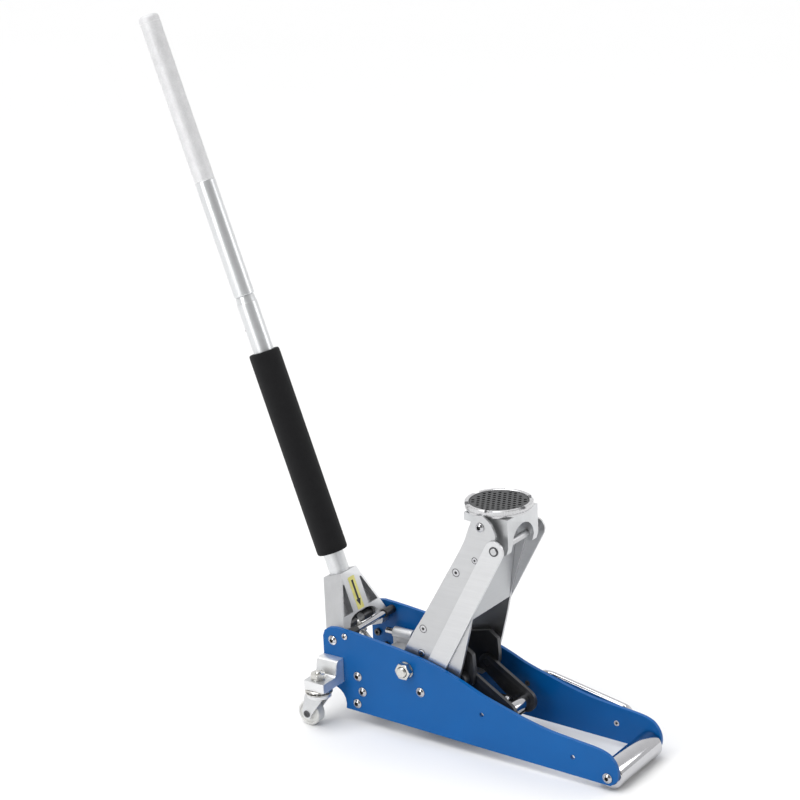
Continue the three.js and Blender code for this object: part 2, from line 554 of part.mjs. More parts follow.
const { tubeRadius, foamRadius, lowerTop, upperStart, spigotTop } = handle;
const spigotRadius = 13.6;
const tubeInner = 11;
add('lower_handle', stand(turned([[0, 12], [5, 12], [5, handle.bottom], [tubeRadius, handle.bottom],
  [tubeRadius, lowerTop], [tubeRadius - 1.6, upperStart - 0.5], [spigotRadius, upperStart - 0.5],
  [spigotRadius, spigotTop], [tubeInner, spigotTop], [tubeInner, handle.bottom + 6],
  [0, handle.bottom + 6]], 20)), 'silver');
const [foamLow, foamHigh] = handle.foam;
add('foam_sleeve', stand(turned([[tubeRadius + GAP, foamLow], [foamRadius - 2.5, foamLow],
  [foamRadius, foamLow + 3], [foamRadius, foamHigh - 3], [foamRadius - 2.5, foamHigh],
  [tubeRadius + GAP, foamHigh], [tubeRadius + GAP, foamLow]], 20)), 'foam');
add('upper_handle', stand(turned([[0, handle.length - 6], [spigotRadius + GAP, handle.length - 6],
  [spigotRadius + GAP, upperStart], [tubeRadius, upperStart], [tubeRadius, handle.length - 4],
  [tubeRadius - 4, handle.length], [0, handle.length]], 20)), 'silver');

// ---- Origin -------------------------------------------------------------------------------------

// The part's origin is the middle of its bounding box's base: between the handle's tip and the roller.
const rearmost = new THREE.Box3().setFromObject(jack.children.find((piece) => piece.name === 'upper_handle')).min.x;
const foremost = frontAxle[0] + rollerRadius;
jack.position.x = -(rearmost + foremost) / 2;

export default jack;
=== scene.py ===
"""Looks of the hydraulic floor jack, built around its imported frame. Metres, +X to the front roller."""

import json
import math
import random

import bmesh
import bpy
from mathutils import Matrix, Vector


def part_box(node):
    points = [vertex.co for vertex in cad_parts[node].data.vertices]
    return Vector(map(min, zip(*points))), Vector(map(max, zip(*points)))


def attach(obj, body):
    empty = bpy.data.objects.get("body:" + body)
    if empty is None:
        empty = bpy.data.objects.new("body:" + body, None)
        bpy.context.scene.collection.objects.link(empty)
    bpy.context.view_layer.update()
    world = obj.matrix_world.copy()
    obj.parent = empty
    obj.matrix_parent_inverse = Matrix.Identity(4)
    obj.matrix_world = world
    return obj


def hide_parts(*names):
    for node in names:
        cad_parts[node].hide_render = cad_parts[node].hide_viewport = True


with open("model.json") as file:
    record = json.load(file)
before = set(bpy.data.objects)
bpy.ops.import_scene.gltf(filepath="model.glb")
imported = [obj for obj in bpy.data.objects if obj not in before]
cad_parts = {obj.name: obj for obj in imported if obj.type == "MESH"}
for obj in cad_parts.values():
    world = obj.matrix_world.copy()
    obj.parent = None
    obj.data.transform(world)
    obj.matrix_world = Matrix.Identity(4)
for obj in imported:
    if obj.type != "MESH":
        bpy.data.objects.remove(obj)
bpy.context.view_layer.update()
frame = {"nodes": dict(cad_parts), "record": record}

MM = 0.001
SCENE = bpy.context.scene
NODES = frame["nodes"]
SIDES = (("right", -1), ("left", 1))


# ---- Places taken from the frame ------------------------------------------------------------------

def middle(node):
    """The centre of a node's box."""
    low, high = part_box(node)
    return (Vector(low) + Vector(high)) / 2


def size(node):
    """The extents of a node's box."""
    low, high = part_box(node)
    return Vector(high) - Vector(low)


def joint(name):
    """A joint of the record, by its name."""
    return next(j for j in frame["record"]["behaviour"]["joints"] if j["name"] == name)


ARM_PIVOT = Vector(joint("lift_arm_hinge")["pos_m"])
HEAD_PIN = Vector(joint("saddle_carrier_hinge")["pos_m"])
HANDLE_PIVOT = Vector(joint("handle_hinge")["pos_m"])
HANDLE_AXIS = Vector(joint("handle_twist")["axis"]).normalized()
SADDLE = Vector(joint("saddle_swivel")["pos_m"])
ARM_UP = (HEAD_PIN - ARM_PIVOT).normalized()
ARM_REAR = Vector((-ARM_UP.z, 0, ARM_UP.x))
LEAN = math.atan2(-HANDLE_AXIS.x, HANDLE_AXIS.z)


# ---- Node materials -------------------------------------------------------------------------------

FLAT_POINTINESS, EDGE_POINTINESS = 0.51, 0.61


class Shader:
    """A principled material, with short calls for the nodes that the finishes below share."""

    def __init__(self, name, **sockets):
        self.material = bpy.data.materials.new(name)
        self.material.use_nodes = True
        self.tree = self.material.node_tree
        self.bsdf = self.tree.nodes["Principled BSDF"]
        for key, value in sockets.items():
            self.bsdf.inputs[key.replace("_", " ")].default_value = value
        self.coords = self.tree.nodes.new("ShaderNodeTexCoord").outputs["Object"]

    def node(self, kind, **settings):
        """A new node: each setting goes to the input of that name, or else to the node itself."""
        made = self.tree.nodes.new("ShaderNode" + kind)
        for key, value in settings.items():
            if key in made.inputs:
                made.inputs[key].default_value = value
            else:
                setattr(made, key, value)
        return made

    def link(self, out, into):
        self.tree.links.new(out, into)

    def stretched(self, scale):
        """The object's own coordinates, scaled along each axis."""
        mapping = self.node("Mapping")
        mapping.inputs["Scale"].default_value = scale
        self.link(self.coords, mapping.inputs["Vector"])
        return mapping.outputs["Vector"]

    def noise(self, scale, detail=4.0, rough=0.55, stretch=(1, 1, 1)):
        made = self.node("TexNoise", Scale=scale, Detail=detail, Roughness=rough)
        self.link(self.stretched(stretch), made.inputs["Vector"])
        return made.outputs["Fac"]

    def ramp(self, value, first, second, start=0.3, end=0.7):
        """Goes from the first colour to the second while value goes from start to end."""
        made = self.node("ValToRGB")
        for element, place, colour in zip(made.color_ramp.elements, (start, end), (first, second)):
            element.position = place
            element.color = (*colour, 1)
        self.link(value, made.inputs["Fac"])
        return made.outputs["Color"]

    def level(self, value, low, high):
        """Spreads a value from 0 to 1 over low to high."""
        made = self.node("MapRange")
        made.inputs["To Min"].default_value = low
        made.inputs["To Max"].default_value = high
        self.link(value, made.inputs["Value"])
        return made.outputs["Result"]

    def blend(self, factor, first, second):
        """Mixes two colours. Each input is a number, a colour or another node's output."""
        made = self.node("Mix", data_type="RGBA")
        for value, socket in ((factor, 0), (first, 6), (second, 7)):
            if isinstance(value, (int, float)):
                made.inputs[socket].default_value = value
            elif isinstance(value, tuple):
                made.inputs[socket].default_value = (*value, 1)
            else:
                self.link(value, made.inputs[socket])
        return made.outputs[2]

    def colour(self, out):
        self.link(out, self.bsdf.inputs["Base Color"])

    def roughness(self, out):
        self.link(out, self.bsdf.inputs["Roughness"])

    def bump(self, height, strength, distance, below=None):
        """Raises the surface by height, on top of the bump given as below."""
        made = self.node("Bump", Strength=strength, Distance=distance)
        self.link(height, made.inputs["Height"])
        if below:
            self.link(below, made.inputs["Normal"])
        self.link(made.outputs["Normal"], self.bsdf.inputs["Normal"])
        return made.outputs["Normal"]

    def edges(self):
        """0 on flat faces and 1 on convex edges, where a skin wears."""
        made = self.node("MapRange")
        made.inputs["From Min"].default_value = FLAT_POINTINESS
        made.inputs["From Max"].default_value = EDGE_POINTINESS
        self.link(self.node("NewGeometry").outputs["Pointiness"], made.inputs["Value"])
        return made.outputs["Result"]


def toned(colour, factor):
    """The colour with its brightness scaled."""
    return tuple(channel * factor for channel in colour)


def blue_paint():
    """Smooth paint with a slight orange peel."""
    s = Shader("blue_paint", Metallic=0.0, Specular_IOR_Level=0.2, Coat_Weight=0.05, Coat_Roughness=0.12)
    s.colour(s.ramp(s.noise(9, 3), (0.0, 0.094, 0.325), (0.0, 0.108, 0.37)))
    s.roughness(s.level(s.noise(140, 3), 0.3, 0.42))
    s.bump(s.noise(900, 2, 0.5), 0.12, 0.0002)
    return s.material


def brushed_aluminium(name, colour, grain, rough):
    """Satin aluminium with fine lines. They run along the axis where grain is small."""
    s = Shader(name, Metallic=0.92)
    lines = s.noise(260, 5, 0.7, grain)
    patches = s.noise(14, 3)
    dark = toned(colour, 0.9)
    s.colour(s.blend(0.35, s.ramp(lines, dark, colour), s.ramp(patches, dark, colour)))
    s.roughness(s.level(lines, *rough))
    s.bump(lines, 0.1, 0.00012)
    return s.material


def cast_metal(name, colour, rough=(0.42, 0.62), metallic=0.9, grain=700, depth=0.35):
    """As-cast skin: fine grains, shallow waviness, and brighter worn edges."""
    s = Shader(name, Metallic=metallic)
    fine = s.noise(grain, 4, 0.65)
    broad = s.noise(45, 4)
    dark = toned(colour, 0.78)
    worn = tuple(min(1, channel * 1.35 + 0.03) for channel in colour)
    skin = s.blend(0.5, s.ramp(fine, dark, colour, end=0.72), s.ramp(broad, dark, colour))
    s.colour(s.blend(s.edges(), skin, worn))
    s.roughness(s.level(fine, *rough))
    under = s.bump(broad, 0.15, 0.0006)
    s.bump(fine, depth, 0.00025, under)
    return s.material


def plated(name, colour, rough, scale=60):
    """Bright or zinc plating: faint smears in the gloss and very fine turning marks."""
    s = Shader(name, Metallic=1.0)
    smear = s.noise(scale, 5, 0.6)
    s.colour(s.ramp(smear, toned(colour, 0.93), colour, start=0.25))
    s.roughness(s.level(smear, *rough))
    s.bump(s.noise(1400, 2), 0.03, 0.0001)
    return s.material


def silver_coat():
    """Silver powder coat with a fine metal fleck."""
    s = Shader("silver_coat", Metallic=0.75, Coat_Weight=0.2, Coat_Roughness=0.25)
    fleck = s.noise(2200, 2, 0.6)
    s.colour(s.ramp(fleck, (0.6, 0.61, 0.62), (0.8, 0.81, 0.82)))
    s.roughness(s.level(s.noise(120, 4), 0.3, 0.44))
    s.bump(fleck, 0.1, 0.0001)
    return s.material


def foam_skin():
    """Closed-cell foam: small pores, soft mottling and a faint sheen."""
    s = Shader("foam_skin", Sheen_Weight=0.06, Sheen_Roughness=0.6, Specular_IOR_Level=0.15)
    voronoi = s.node("TexVoronoi", Scale=900)
    s.link(s.stretched((1, 1, 1)), voronoi.inputs["Vector"])
    cells = voronoi.outputs["Distance"]
    mottle = s.noise(60, 5)
    black = (0.011, 0.011, 0.012)
    s.colour(s.blend(0.5, s.ramp(cells, (0.004, 0.004, 0.0045), black, 0.1, 0.6),
                     s.ramp(mottle, (0.005, 0.005, 0.006), black)))
    s.roughness(s.level(mottle, 0.78, 0.95))
    s.bump(cells, 0.4, 0.0004)
    return s.material


def pad_rubber():
    """Dark grey rubber with a fine, dull grain."""
    s = Shader("pad_rubber", Specular_IOR_Level=0.4)
    fine = s.noise(800, 4, 0.6)
    s.colour(s.ramp(fine, (0.055, 0.056, 0.058), (0.09, 0.091, 0.094)))
    s.roughness(s.level(s.noise(60, 3), 0.6, 0.82))
    s.bump(fine, 0.25, 0.00025)
    return s.material


def moulded(name, colour, rough=(0.35, 0.5)):
    """Moulded plastic with a faint mottle."""
    s = Shader(name)
    mottle = s.noise(70, 4)
    s.colour(s.ramp(mottle, toned(colour, 0.88), colour))
    s.roughness(s.level(mottle, *rough))
    s.bump(s.noise(1100, 3), 0.12, 0.0001)
    return s.material


def label_print():
    """Plain yellow label film."""
    s = Shader("label_yellow", Coat_Weight=0.3, Coat_Roughness=0.2)
    mottle = s.noise(90, 4)
    s.colour(s.ramp(mottle, (0.72, 0.66, 0.16), (0.84, 0.78, 0.24)))
    s.roughness(s.level(mottle, 0.3, 0.45))
    s.bump(s.noise(500, 2), 0.05, 0.0001)
    return s.material


ALONG_LOCAL_X, ALONG_LOCAL_Y, ALONG_LOCAL_Z = (0.05, 1, 1), (1, 0.05, 1), (1, 1, 0.05)
LOOK = {
    "blue": blue_paint(),
    "arm": brushed_aluminium("arm_aluminium", (0.56, 0.565, 0.575), ALONG_LOCAL_X, (0.26, 0.38)),
    "link": brushed_aluminium("link_aluminium", (0.66, 0.665, 0.675), ALONG_LOCAL_X, (0.26, 0.38)),
    "inner": brushed_aluminium("inner_aluminium", (0.5, 0.51, 0.525), ALONG_LOCAL_Y, (0.36, 0.5)),
    "ring": brushed_aluminium("turned_ring", (0.62, 0.62, 0.63), ALONG_LOCAL_Z, (0.22, 0.34)),
    "saddle": cast_metal("saddle_aluminium", (0.6, 0.61, 0.62), (0.34, 0.5), 0.92, 900, 0.2),
    "cast": cast_metal("cast_aluminium", (0.56, 0.565, 0.575)),
    "bracket": cast_metal("bracket_aluminium", (0.72, 0.73, 0.74), (0.34, 0.48), 0.85, 800, 0.2),
    "iron": cast_metal("black_iron", (0.075, 0.076, 0.08), (0.3, 0.5), 0.7, 500, 0.4),
    "chrome": plated("chrome", (0.56, 0.56, 0.58), (0.06, 0.16)),
    "zinc": plated("zinc_plate", (0.66, 0.65, 0.62), (0.2, 0.36), 120),
    "black": moulded("black_sleeve", (0.02, 0.02, 0.022)),
    "silver": silver_coat(),
    "grip": cast_metal("grip_finish", (0.8, 0.8, 0.81), (0.45, 0.65), 0.3, 420, 0.8),
    "foam": foam_skin(),
    "rubber": pad_rubber(),
    "wheel": moulded("wheel_pale", (0.72, 0.72, 0.7)),
    "label": label_print(),
    # Near-black: the arrow's print and the spring button, and also painted shade in screw recesses, under
    # screw heads, in the pad's holes and round the pivot shaft's end.
    "near_black_and_painted_shade": moulded("near_black_finish_and_painted_shade", (0.012, 0.012, 0.013), (0.4, 0.55)),
}


# ---- Mesh work ------------------------------------------------------------------------------------

ALONG_X = Matrix.Rotation(math.radians(90), 4, "Y")
ALONG_Y = Matrix.Rotation(math.radians(-90), 4, "X")
STAND = Matrix.Translation(HANDLE_PIVOT) @ Matrix.Rotation(-LEAN, 4, "Y")
SHARP_ANGLE = math.radians(30)
ON_AXIS = 1e-6


def at(point, turn=None):
    """A placement at the point, after the turn."""
    place = Matrix.Translation(Vector(point))
    return place @ turn if turn is not None else place


def outward(sign):
    """Turns +Z to the outside of the given side."""
    return Matrix.Rotation(math.radians(-90 * sign), 4, "X")


def piece(name, bm, look, body, place=None, second="near_black_and_painted_shade"):
    """A bmesh made into a piece that rides on the body. It takes the place of the CAD node of the same
    name, where there is one. Faces with material index 1 take the second finish, which by default is the
    near-black finish that also serves as painted shade."""
    if place is not None:
        bm.transform(place)
    bmesh.ops.recalc_face_normals(bm, faces=bm.faces)
    for face in bm.faces:
        face.smooth = True
    for edge in bm.edges:
        if len(edge.link_faces) == 2 and edge.calc_face_angle() > SHARP_ANGLE:
            edge.smooth = False
    mesh = bpy.data.meshes.new(name)
    bm.to_mesh(mesh)
    bm.free()
    replaced = name in NODES
    made = bpy.data.objects.new(f"{name}_fine" if replaced else name, mesh)
    SCENE.collection.objects.link(made)
    mesh.materials.append(LOOK[look])
    if any(face.material_index for face in mesh.polygons):
        mesh.materials.append(LOOK[second])
    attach(made, body)
    if replaced:
        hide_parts(name)
    return made


def rod(radius, low, high):
    """The profile of a plain cylinder."""
    return [(0, low), (radius, low), (radius, high), (0, high)]


def band(inner, outer, low, high):
    """The profile of a plain ring."""
    return [(inner, low), (outer, low), (outer, high), (inner, high), (inner, low)]


def mirrored(end):
    """A whole profile from its upper end, which is listed from the axis or bore outwards."""
    return [(r, -h) for r, h in end] + [(r, h) for r, h in reversed(end)]


def curve(corners, steps):
    """Points on the Bezier curve that the corners guide."""
    points = []
    for k in range(steps + 1):
        row = [Vector(corner) for corner in corners]
        while len(row) > 1:
            row = [a.lerp(b, k / steps) for a, b in zip(row, row[1:])]
        points.append(row[0])
    return points


def rounded(profile, radius=0.5, steps=3):
    """The same profile with its corners rounded, for the highlight that a machined edge has."""
    ring = profile[0] == profile[-1]
    points = [Vector(p) for p in (profile[:-1] if ring else profile)]
    out = []
    for i, p in enumerate(points):
        if not ring and i in (0, len(points) - 1):
            out.append(tuple(p))
            continue
        before, after = points[i - 1], points[(i + 1) % len(points)]
        r = min(radius, (before - p).length * 0.45, (after - p).length * 0.45)
        a, b = p + (before - p).normalized() * r, p + (after - p).normalized() * r
        out += [tuple(point) for point in curve((a, p, b), steps)]
    if ring:
        out.append(out[0])
    return out


def lathe(profile, segments):
    """A closed body of revolution about Z. profile is [(radius, height)] in millimetres. It starts and ends
    on the axis, or it is a ring, which ends where it starts."""
    bm = bmesh.new()
    ring = profile[0] == profile[-1]
    rows = []
    for radius, height in (profile[:-1] if ring else profile):
        angles = [2 * math.pi * i / segments for i in range(segments if radius > ON_AXIS else 1)]
        rows.append([bm.verts.new((radius * MM * math.cos(a), radius * MM * math.sin(a), height * MM))
                     for a in angles])
    pairs = list(zip(rows, rows[1:])) + ([(rows[-1], rows[0])] if ring else [])
    for low, high in pairs:
        for i in range(segments):
            j = (i + 1) % segments
            corners = [low[i % len(low)], low[j % len(low)], high[j % len(high)], high[i % len(high)]]
            distinct = list(dict.fromkeys(corners))
            if len(distinct) > 2:
                bm.faces.new(distinct)
    return bm


def skin(rows):
    """A closed body over rows of points that all have the same count, with a flat face at both ends."""
    bm = bmesh.new()
    rings = [[bm.verts.new(point) for point in row] for row in rows]
    count = len(rings[0])
    for low, high in zip(rings, rings[1:]):
        for k in range(count):
            j = (k + 1) % count
            bm.faces.new((low[k], low[j], high[j], high[k]))
    bm.faces.new(rings[0])
    bm.faces.new(rings[-1])
    return bm


def tube(route, radius, segments):
    """A round bar along a smooth route of points in metres."""
    rows = []
    side = None
    for i, p in enumerate(route):
        ahead = (route[min(i + 1, len(route) - 1)] - route[max(i - 1, 0)]).normalized()
        side = ahead.orthogonal() if side is None else side - ahead * side.dot(ahead)
        side.normalize()
        other = ahead.cross(side)
        angles = [2 * math.pi * k / segments for k in range(segments)]
        rows.append([p + (side * math.cos(a) + other * math.sin(a)) * radius for a in angles])
    return skin(rows)


def prism(corners, low, high):
    """An upright prism over (x, y) corners in millimetres."""
    bm = bmesh.new()
    bm.faces.new([bm.verts.new((x * MM, y * MM, low * MM)) for x, y in corners])
    raised = bmesh.ops.extrude_face_region(bm, geom=bm.faces[:])["geom"]
    bmesh.ops.translate(bm, verts=[g for g in raised if isinstance(g, bmesh.types.BMVert)],
                        vec=(0, 0, (high - low) * MM))
    return bm


def hexagon(corner, low, high, turn=0.0):
    """A hexagonal prism. corner is its radius at the corners."""
    angles = [2 * math.pi * i / 6 + turn for i in range(6)]
    return prism([(corner * math.cos(a), corner * math.sin(a)) for a in angles], low, high)


def crosswise(outline, rear, front):
    """A plate across the jack from x = rear to x = front, over an outline of (y, z) corners."""
    plate = prism([(z, y) for y, z in outline], rear, front)
    plate.transform(Matrix(((0, 0, 1, 0), (0, 1, 0, 0), (1, 0, 0, 0), (0, 0, 0, 1))))
    return plate


def merged(*parts):
    """Several bmeshes as one, each a closed body of its own."""
    base = parts[0]
    for other in parts[1:]:
        mesh = bpy.data.meshes.new("part")
        other.to_mesh(mesh)
        other.free()
        base.from_mesh(mesh)
        bpy.data.meshes.remove(mesh)
    return base


def temporary(name, bm):
    """A short-lived object that a boolean works on."""
    mesh = bpy.data.meshes.new(name)
    bmesh.ops.recalc_face_normals(bm, faces=bm.faces)
    bm.to_mesh(mesh)
    bm.free()
    made = bpy.data.objects.new(name, mesh)
    SCENE.collection.objects.link(made)
    return made


def carved(bm, *cutters, operation="DIFFERENCE"):
    """bm with the closed cutters taken away, or only what it shares with them, by an exact boolean."""
    body = temporary("carve_body", bm)
    tools = [temporary("carve_tool", cutter) for cutter in cutters]
    for tool in tools:
        modifier = body.modifiers.new("cut", "BOOLEAN")
        modifier.operation = operation
        modifier.solver = "EXACT"
        modifier.object = tool
    result = bmesh.new()
    result.from_mesh(body.evaluated_get(bpy.context.evaluated_depsgraph_get()).to_mesh())
    for made in (body, *tools):
        bpy.data.objects.remove(made)
    return result


def paint_shade(bm, within, below):
    """Paints shade: gives the near-black second finish to the faces near the axis and under a height, as in a
    screw's recess.
    """
    for face in bm.faces:
        centre = face.calc_center_median() / MM
        if math.hypot(centre.x, centre.y) < within and centre.z < below:
            face.material_index = 1
    return bm


def all_second(bm):
    """Gives every face the second finish."""
    for face in bm.faces:
        face.material_index = 1
    return bm


def half_width(node):
    """Half of a node's extent across the jack, in millimetres."""
    return size(node).y / 2 / MM


def across(node, profile, segments, look, body):
    """A turned piece that lies across the jack, in its node's place."""
    piece(node, lathe(profile, segments), look, body, at(middle(node), ALONG_Y))


# ---- CAD nodes that keep their shape --------------------------------------------------------------

# Look, bevel in millimetres, and nodes.
KEPT = [
    ("blue", 0.7, ["side_plate_right", "side_plate_left"]),
    ("arm", 0.6, ["arm_plate_right", "arm_plate_left"]),
    ("link", 0.7, ["link_bar_right", "link_bar_left"]),
    ("inner", 0.4, ["arm_web"]),
    ("saddle", 1.3, ["saddle_bracket"]),
    ("cast", 1.4, ["handle_socket"]),
    ("cast", 0.4, ["power_unit_block"]),
    ("bracket", 1.1, ["caster_bracket_right", "caster_bracket_left"]),
    ("bracket", 0.4, ["caster_fork_right", "caster_fork_left"]),
    ("iron", 1.2, ["arm_crank"]),
    ("iron", 0.9, ["ram_yoke"]),
    ("zinc", 0.4, ["release_rod", "cylinder_gland_nut"]),
    ("chrome", 0.4, ["pump_plunger"]),
]
WELD_DISTANCE = 2e-5
BEVEL_ANGLE = math.radians(32)


def finish_node(name, look, bevel):
    """A CAD node with bevelled edges, smooth shading across its facets and a real finish."""
    node = NODES[name]
    node.data.materials.clear()
    node.data.materials.append(LOOK[look])
    for face in node.data.polygons:
        face.use_smooth = True
    node.modifiers.new("weld", "WELD").merge_threshold = WELD_DISTANCE
    cut = node.modifiers.new("bevel", "BEVEL")
    cut.width = bevel * MM
    cut.segments = 3
    cut.limit_method = "ANGLE"
    cut.angle_limit = BEVEL_ANGLE
    cut.harden_normals = True
    node.modifiers.new("normals", "WEIGHTED_NORMAL").keep_sharp = True


for kept_look, kept_bevel, kept_names in KEPT:
    for kept_name in kept_names:
        finish_node(kept_name, kept_look, kept_bevel)


# ---- Fasteners ------------------------------------------------------------------------------------

def button_head(radius, height, key):
    """A domed screw head standing on z = 0, with a hexagon recess (key across flats) painted dark as shade,
    and a painted shadow round its foot.
    """
    rim, foot, steps = 0.7, 0.5, 8
    sphere = (radius ** 2 + height ** 2) / (2 * height)
    angles = [math.asin(radius / sphere) * (1 - i / steps) for i in range(1, steps)]
    dome = [(sphere * math.sin(a), height - sphere * (1 - math.cos(a))) for a in angles]
    above_rim = [point for point in dome if point[1] > rim + 0.05]
    body = lathe([(0, 0), (radius, 0), (radius, rim), *above_rim, (0, height)], 48)
    recess = hexagon(key / math.sqrt(3), height * 0.2, height + 1, math.pi / 6)
    # The recess walls and floor take the near-black finish as painted shade.
    head = paint_shade(carved(body, recess), key * 0.53, height * 0.86)
    # The faces under foot take it too, as a painted shadow line at the head's base.
    return paint_shade(head, radius + 1, foot)


def flush_screw(radius, key):
    """A countersunk screw: its flat top is just proud of the plate at z = 0, with a hexagon recess painted
    dark as shade.
    """
    proud, depth, floor_height = 0.25, 0.8, 0.05
    body = lathe(rounded(rod(radius, -depth, proud), 0.2), 40)
    recess = hexagon(key / math.sqrt(3), floor_height, 1, math.pi / 6)
    # The recess takes the near-black finish as painted shade.
    return paint_shade(carved(body, recess), key * 0.53, proud * 0.7)


def hex_nut(flats, height):
    """A plain nut on z = 0, its corners turned down to a chamfer at both ends."""
    corner, reach, margin = flats / math.sqrt(3), flats / 2, 0.01
    drop = (corner - reach) * 0.6
    profile = [(0, -margin), (reach * 0.96, -margin), (corner + 0.05, drop), (corner + 0.05, height - drop),
               (reach * 0.96, height + margin), (0, height + margin)]
    turned = lathe(profile, 60)
    return carved(hexagon(corner, 0, height), turned, operation="INTERSECT")


def headed_bar(radius, seat, head, height, key):
    """A bar about Z with a button head on each end. The heads stand on z = seat and z = -seat."""
    parts = [lathe(rod(radius, -seat, seat), 40)]
    for turn in (0, math.pi):
        button = button_head(head, height, key)
        button.transform(Matrix.Rotation(turn, 4, "X") @ Matrix.Translation((0, 0, seat * MM)))
        parts.append(button)
    return merged(*parts)


def plate_button(node, radius, sign):
    """A button head outside a plate, with its shank in the plate."""
    height, shank = radius * 0.53, 3.9
    depth = size(node).y / MM - height
    base = middle(node) + Vector((0, sign * (size(node).y / 2 - height * MM), 0))
    screw = merged(button_head(radius, height, 6), lathe(rod(shank, -depth + 0.2, 0.1), 24))
    piece(node, screw, "chrome", "chassis", at(base, outward(sign)))


PLATE_BUTTONS = {"handle_pivot_screw": 7.7, "power_unit_screw_upper": 7.5, "power_unit_screw_middle": 7.5,
                 "power_unit_screw_lower": 7.5, "link_pivot_screw": 7.5}
for button_side, button_sign in SIDES:
    for stem, button_radius in PLATE_BUTTONS.items():
        plate_button(f"{stem}_{button_side}", button_radius, button_sign)


# ---- Front roller, bars and main pivot ------------------------------------------------------------

def cross_bar(node, radius, head, height, key):
    """A bar right across the jack with a button head outside each plate."""
    bar = headed_bar(radius, half_width(node) - height, head, height, key)
    piece(node, bar, "chrome", "chassis", at(middle(node), ALONG_Y))


def front_roller():
    """A bright roller with a bored recess in each end."""
    half, radius = half_width("front_roller"), size("front_roller").z / 2 / MM
    end = [(7.5, half - 1.2), (13, half - 1.2), (13.6, half),
           (radius - 1.4, half), (radius - 0.05, half - 1.4)]
    shell = mirrored(end)
    across("front_roller", rounded(shell + [shell[0]], 0.4), 128, "chrome", "front_roller")


def stop_bar_sleeve(node):
    """A black sleeve on the bar that the handle stops at."""
    half = half_width(node)
    across(node, rounded(band(5.2, 6.9, -half, half), 0.5), 40, "black", "chassis")


def main_pivot_nut(node, sign):
    """A nut on a washer, with a thin dark ring round the shaft's end that paints the shade in the gap between
    nut and shaft.
    """
    height = size(node).y / MM
    nut = hex_nut(24, height - 0.4)
    washer = lathe(band(8, 13.4, -0.1, 0.9), 48)
    # A thin ring painted near-black: painted shade where the shaft meets the nut.
    gap_shade_ring = all_second(lathe(band(7.7, 8.9, height - 0.5, height - 0.25), 48))
    base = middle(node) - Vector((0, sign * (height / 2 - 0.3) * MM, 0))
    piece(node, merged(nut, washer, gap_shade_ring), "zinc", "chassis", at(base, outward(sign)))


def main_pivot_shaft():
    """The arm's shaft, with a few threads showing past each nut."""
    half, crest, root, pitch, turns = half_width("main_pivot_shaft"), 7.7, 7.2, 1.0, 3
    first = half - 0.7
    end = [(0, half), (6.9, half)]
    for k in range(turns):
        end += [(crest, first - k * pitch), (root, first - (k + 0.5) * pitch)]
    end += [(crest, first - turns * pitch)]
    piece("main_pivot_shaft", lathe(mirrored(end), 56), "zinc", "chassis", at(ARM_PIVOT, ALONG_Y))


cross_bar("front_axle", 6.9, 7.7, 3.8, 6)
cross_bar("handle_stop_bar", 4.9, 5.1, 2.5, 3.8)
front_roller()
for pivot_side, pivot_sign in SIDES:
    stop_bar_sleeve(f"stop_bar_sleeve_{pivot_side}")
    main_pivot_nut(f"main_pivot_nut_{pivot_side}", pivot_sign)
main_pivot_shaft()


# ---- Hydraulic cylinder, piston and yoke pin ------------------------------------------------------

def ram_cylinder():
    """The cylinder, with a turned groove near its front end."""
    node = "ram_cylinder"
    half, radius = size(node).x / 2 / MM, 22.4
    root = radius - 0.8
    groove = [(radius, half - 9), (root, half - 8.4), (root, half - 7.4), (radius, half - 6.8)]
    profile = [(0, -half), (radius, -half), *groove, (radius, half), (17, half), (0, half)]
    piece(node, lathe(rounded(profile, 0.5), 72), "iron", "chassis", at(middle(node), ALONG_X))


def ram_piston():
    """The piston, with its wide head in the cylinder and a blunt nose."""
    node = "ram_piston"
    half, head, shaft = size(node).x / 2 / MM, 16.4, 13.9
    profile = [(0, -half), (head, -half), (head, -half + 12), (shaft, -half + 12), (shaft, half - 5),
               (12.6, half - 0.8), (9, half), (0, half)]
    piece(node, lathe(rounded(profile, 0.8), 72), "chrome", "ram", at(middle(node), ALONG_X))


def yoke_cross_pin():
    """The pin that the piston pushes, thinner where the yoke's arms hold it."""
    half, journal, barrel = half_width("yoke_cross_pin"), 5.8, 10.9
    inner = half - 6.4
    profile = [(0, -half), (journal, -half), (journal, -inner), (barrel, -inner), (barrel, inner),
               (journal, inner), (journal, half), (0, half)]
    across("yoke_cross_pin", rounded(profile, 0.8), 64, "chrome", "ram_yoke")


ram_cylinder()
ram_piston()
yoke_cross_pin()


# ---- Arm head, link head and arm screws -----------------------------------------------------------

def arm_head_pin():
    """The pin between the arm and the saddle's bracket, with a button head on each end."""
    seat = half_width("arm_head_pin") - 4
    piece("arm_head_pin", headed_bar(6.7, seat, 7.4, 3.9, 6), "chrome", "lift_arm", at(HEAD_PIN, ALONG_Y))


def link_head_pin():
    """A plain pin with a spring clip at each end."""
    node = "link_head_pin"
    half, radius = half_width(node), 5.9
    end = [(0, half), (radius - 0.9, half), (radius - 0.5, half - 0.4), (radius, half - 1.15)]
    across(node, mirrored(end), 56, "arm", "saddle_carrier")
    for side, sign in SIDES:
        clip = lathe(rounded(band(5.7, 7.4, 0.1, 1.1), 0.3), 48)
        face = middle(node) + Vector((0, sign * (half - 1.2) * MM, 0))
        piece(f"link_pin_clip_{side}", clip, "iron", "saddle_carrier", at(face, outward(sign)))


def on_arm(along, behind, sign):
    """The point on an arm plate's outer face that is so far along the arm, and behind its middle line."""
    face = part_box("arm_plate_left")[1][1] if sign > 0 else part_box("arm_plate_right")[0][1]
    point = ARM_PIVOT + ARM_UP * along * MM + ARM_REAR * behind * MM
    return Vector((point.x, face, point.z))


# Each screw's place along and behind the arm's middle line, its seat's radius and its key.
ARM_SCREWS = ((196, 2, 5.6, 4.6), (74, 9, 5.6, 4.6), (235, -16, 4.3, 3.6), (35, -6.5, 5.6, 5))


